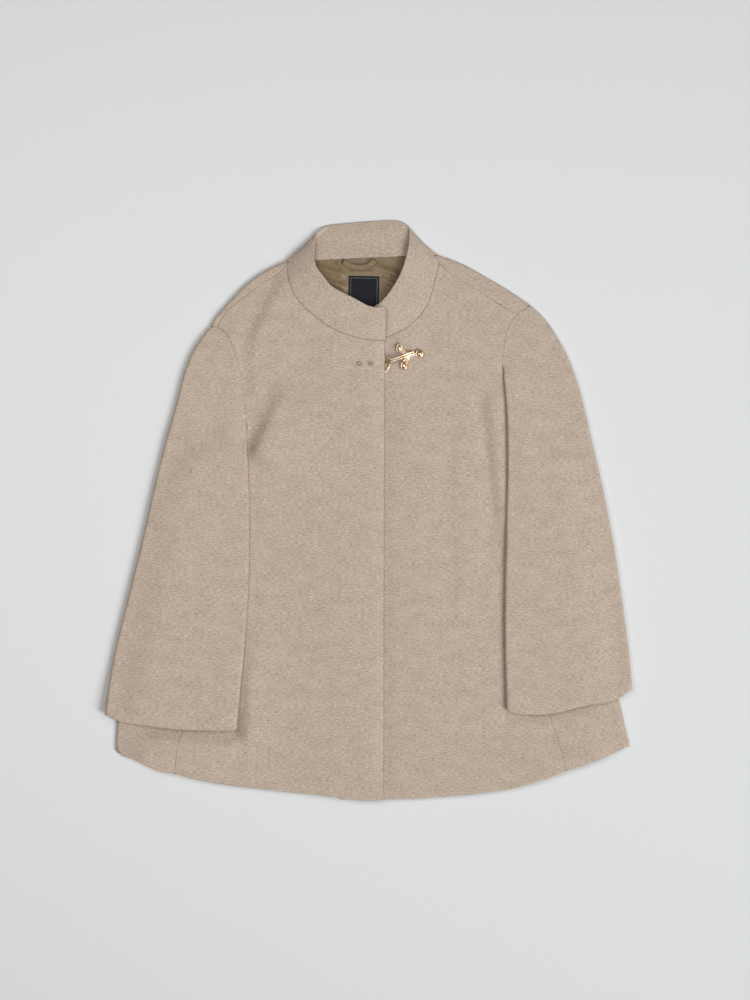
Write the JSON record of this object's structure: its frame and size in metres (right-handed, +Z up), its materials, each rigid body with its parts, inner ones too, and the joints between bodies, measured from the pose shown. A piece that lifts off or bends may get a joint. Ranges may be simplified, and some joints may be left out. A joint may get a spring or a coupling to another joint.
{
  "type": "wool cape jacket",
  "caption": "Short A-line wool cape jacket with wide sleeves, stand collar and a gold hook clasp, laid flat on its back, closed.",
  "frame": {"origin": "on the surface it lies on, under the middle of the laid jacket's outline", "axes": "+Z up from the surface, +Y from the hem towards the collar, +X towards the wearer's left"},
  "size_m": [0.6753, 0.7429, 0.0215],
  "materials": {
    "wool_coating": "matte melange wool",
    "lining_satin": "satin",
    "label_weave": "plain woven",
    "gold_plated_brass": "polished"
  },
  "bodies": {
    "root": {"back": "wool_coating", "front_right": "wool_coating", "front_left": "wool_coating", "sleeve_right": "wool_coating", "sleeve_left": "wool_coating", "collar": "wool_coating", "neck_lining": "lining_satin", "hanger_loop": "lining_satin", "label": "label_weave", "clasp_plate": "gold_plated_brass", "clasp_stud_top": "gold_plated_brass", "clasp_stud_low": "gold_plated_brass", "clasp_stud_side": "gold_plated_brass", "clasp_hook": "gold_plated_brass", "clasp_ring": "gold_plated_brass", "fixing_inner": "wool_coating", "fixing_outer": "wool_coating"}
  },
  "joints": []
}
